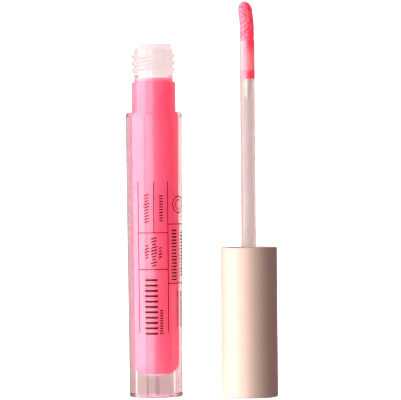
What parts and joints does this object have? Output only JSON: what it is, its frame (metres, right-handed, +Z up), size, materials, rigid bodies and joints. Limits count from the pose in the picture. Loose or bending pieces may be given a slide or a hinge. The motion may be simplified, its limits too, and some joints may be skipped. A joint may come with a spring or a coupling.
{
  "type": "lip gloss tube",
  "caption": "Open lip gloss tube: clear heavy-walled bottle with threaded neck, wiper and pink gloss, and a beige screw cap with rod and flocked applicator.",
  "frame": {"origin": "centre of the bottle's foot, on the surface it stands on", "axes": "+Z up along the bottle's axis, +X from the bottle towards the cap, -Y the printed front"},
  "size_m": [0.0443, 0.0166, 0.1153],
  "materials": {
    "clear_wall": "clear heavy-wall copolyester, polished, with dark print",
    "wiper_plastic": "natural translucent polyethylene",
    "gloss": "thick translucent pink gloss",
    "cap_shell": "soft matte nude lacquer",
    "inner_plastic": "natural polypropylene",
    "seal": "soft white foamed liner",
    "rod_plastic": "translucent natural plastic",
    "stem_plastic": "smooth pink plastic, wet with gloss",
    "flock": "short flock soaked with gloss"
  },
  "bodies": {
    "tube": {"bottle": "clear_wall", "wiper": "wiper_plastic", "gloss_fill": "gloss"},
    "wand": {"wand_rod": "rod_plastic", "applicator_stem": "stem_plastic", "flock_tip": "flock"},
    "cap": {"overcap": "cap_shell", "inner_cap": "inner_plastic", "seal_ring": "seal"}
  },
  "joints": [
    {"name": "turn_over", "type": "hinge", "parent": "tube", "child": "wand", "pos_m": [0.0139, 0, 0.1125], "axis": [0, -1, 0], "range_deg": [0, 180]},
    {"name": "cap_turn", "type": "hinge", "parent": "wand", "child": "cap", "pos_m": [0.0278, 0, 0], "axis": [0, 0, 1], "range_deg": [0, 540]}
  ]
}
